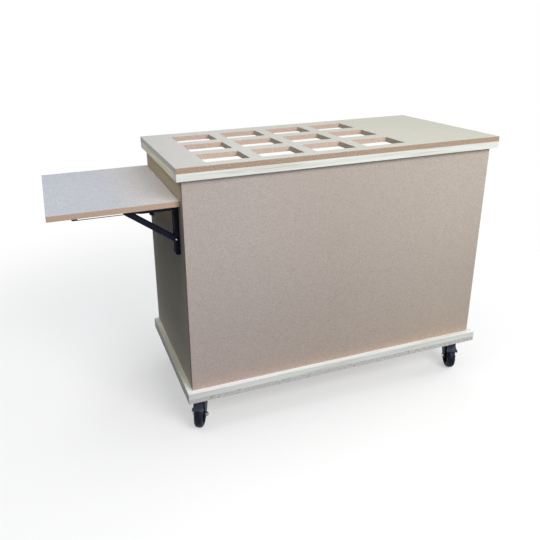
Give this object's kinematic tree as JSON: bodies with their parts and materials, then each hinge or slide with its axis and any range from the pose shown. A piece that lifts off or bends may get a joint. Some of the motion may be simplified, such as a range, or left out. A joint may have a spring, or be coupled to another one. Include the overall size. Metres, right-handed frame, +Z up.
{
  "type": "room service table",
  "caption": "Mobile fibreboard service table with a grid of rectangular worktop cut-outs, pine lipping and base ledge, a fold-down side shelf and swivel casters with toe brakes.",
  "frame": {"origin": "on the floor, midway along the whole length with the side shelf out, and midway across the worktop's depth", "axes": "+X runs along the length from the side shelf to the plain end, +Y from the front panel to the open back, +Z up from the floor; at rest the shelf is out"},
  "size_m": [1.612, 0.6085, 0.981],
  "materials": {
    "fibreboard": "raw sanded fibreboard, matte",
    "pine": "raw planed pine, matte",
    "batten_pine": "raw sawn pine, matte",
    "plywood": "raw sawn plywood, rough",
    "black_steel": "black powder coat, fine texture",
    "pedal_steel": "dark grey pressed steel, worn edge",
    "zinc_steel": "bright zinc plate",
    "screw_steel": "zinc plate, satin",
    "tread_rubber": "solid black rubber, matte",
    "hub_plastic": "black moulded plastic, satin"
  },
  "bodies": {
    "carcass": {"top_board": "fibreboard", "top_lip_front": "pine", "top_lip_left": "pine", "top_lip_right": "pine", "front_panel": "fibreboard", "left_side_panel": "fibreboard", "right_side_panel": "fibreboard", "base_plywood": "plywood", "floor_board": "plywood", "base_strip_front": "pine", "base_strip_back": "pine", "base_strip_left": "pine", "base_strip_right": "pine", "corner_batten_left": "batten_pine", "corner_batten_right": "batten_pine", "bottom_batten_left": "batten_pine", "bottom_batten_right": "batten_pine", "batten_screws": "screw_steel", "caster_screws": "screw_steel", "wall_screws": "screw_steel", "wall_channel_near": "black_steel", "wall_channel_far": "black_steel", "hinge_rivets": "zinc_steel", "brace_rivets": "zinc_steel", "kingpins": "zinc_steel", "swivel_bearings": "black_steel", "caster_front_left_plate": "black_steel", "caster_front_right_plate": "black_steel", "caster_back_left_plate": "black_steel", "caster_back_right_plate": "black_steel"},
    "shelf": {"shelf_board": "fibreboard", "shelf_screws": "screw_steel", "arm_channel_near": "black_steel", "arm_channel_far": "black_steel"},
    "brace_near": {"brace_near": "black_steel", "slide_pin_middle_near": "zinc_steel"},
    "slide_pin_near": {"slide_pin_ends_near": "zinc_steel"},
    "brace_far": {"brace_far": "black_steel", "slide_pin_middle_far": "zinc_steel"},
    "slide_pin_far": {"slide_pin_ends_far": "zinc_steel"},
    "swivel_front_left": {"caster_front_left_fork": "black_steel", "caster_front_left_axle": "zinc_steel"},
    "wheel_front_left": {"caster_front_left_tread": "tread_rubber", "caster_front_left_hub": "hub_plastic"},
    "brake_front_left": {"caster_front_left_pedal": "pedal_steel"},
    "swivel_front_right": {"caster_front_right_fork": "black_steel", "caster_front_right_axle": "zinc_steel"},
    "wheel_front_right": {"caster_front_right_tread": "tread_rubber", "caster_front_right_hub": "hub_plastic"},
    "brake_front_right": {"caster_front_right_pedal": "pedal_steel"},
    "swivel_back_left": {"caster_back_left_fork": "black_steel", "caster_back_left_axle": "zinc_steel"},
    "wheel_back_left": {"caster_back_left_tread": "tread_rubber", "caster_back_left_hub": "hub_plastic"},
    "swivel_back_right": {"caster_back_right_fork": "black_steel", "caster_back_right_axle": "zinc_steel"},
    "wheel_back_right": {"caster_back_right_tread": "tread_rubber", "caster_back_right_hub": "hub_plastic"}
  },
  "joints": [
    {"name": "shelf_fold", "type": "hinge", "parent": "carcass", "child": "shelf", "pos_m": [-0.4074, 0, 0.8355], "axis": [0, -1, 0], "range_deg": [0, 90]},
    {"name": "brace_near_turn", "type": "hinge", "parent": "carcass", "child": "brace_near", "pos_m": [-0.4074, -0.207, 0.724], "axis": [0, -1, 0], "range_deg": [0, 125.4]},
    {"name": "slide_pin_near_slide", "type": "slide", "parent": "shelf", "child": "slide_pin_near", "axis": [-1, 0, 0], "range_m": [0, 0.1471]},
    {"name": "brace_far_turn", "type": "hinge", "parent": "carcass", "child": "brace_far", "pos_m": [-0.4074, 0.25, 0.724], "axis": [0, -1, 0], "range_deg": [0, 125.4]},
    {"name": "slide_pin_far_slide", "type": "slide", "parent": "shelf", "child": "slide_pin_far", "axis": [-1, 0, 0], "range_m": [0, 0.1471]},
    {"name": "caster_front_left_swivel", "type": "hinge", "parent": "carcass", "child": "swivel_front_left", "pos_m": [-0.35, -0.228, 0.119], "axis": [0, 0, 1], "continuous": true},
    {"name": "caster_front_left_roll", "type": "hinge", "parent": "swivel_front_left", "child": "wheel_front_left", "pos_m": [-0.36589, -0.25918, 0.05], "axis": [0.891, -0.454, 0], "continuous": true},
    {"name": "caster_front_left_brake", "type": "hinge", "parent": "swivel_front_left", "child": "brake_front_left", "pos_m": [-0.36498, -0.2574, 0.109], "axis": [0.891, -0.454, 0], "range_deg": [0, 7.5]},
    {"name": "caster_front_right_swivel", "type": "hinge", "parent": "carcass", "child": "swivel_front_right", "pos_m": [0.742, -0.228, 0.119], "axis": [0, 0, 1], "continuous": true},
    {"name": "caster_front_right_roll", "type": "hinge", "parent": "swivel_front_right", "child": "wheel_front_right", "pos_m": [0.72776, -0.25997, 0.05], "axis": [0.9135, -0.4067, 0], "continuous": true},
    {"name": "caster_front_right_brake", "type": "hinge", "parent": "swivel_front_right", "child": "brake_front_right", "pos_m": [0.72858, -0.25815, 0.109], "axis": [0.9135, -0.4067, 0], "range_deg": [0, 7.5]},
    {"name": "caster_back_left_swivel", "type": "hinge", "parent": "carcass", "child": "swivel_back_left", "pos_m": [-0.35, 0.228, 0.119], "axis": [0, 0, 1], "continuous": true},
    {"name": "caster_back_left_roll", "type": "hinge", "parent": "swivel_back_left", "child": "wheel_back_left", "pos_m": [-0.33803, 0.19511, 0.05], "axis": [0.9397, 0.342, 0], "continuous": true},
    {"name": "caster_back_right_swivel", "type": "hinge", "parent": "carcass", "child": "swivel_back_right", "pos_m": [0.742, 0.228, 0.119], "axis": [0, 0, 1], "continuous": true},
    {"name": "caster_back_right_roll", "type": "hinge", "parent": "swivel_back_right", "child": "wheel_back_right", "pos_m": [0.72889, 0.19555, 0.05], "axis": [0.9272, -0.3746, 0], "continuous": true}
  ],
  "couplings": [
    {"joint": "brace_near_turn", "follows": "shelf_fold", "ratio": 1.3931},
    {"joint": "slide_pin_near_slide", "follows": "shelf_fold", "m_per_rad": 0.093624},
    {"joint": "brace_far_turn", "follows": "shelf_fold", "ratio": 1.3931},
    {"joint": "slide_pin_far_slide", "follows": "shelf_fold", "m_per_rad": 0.093624}
  ]
}
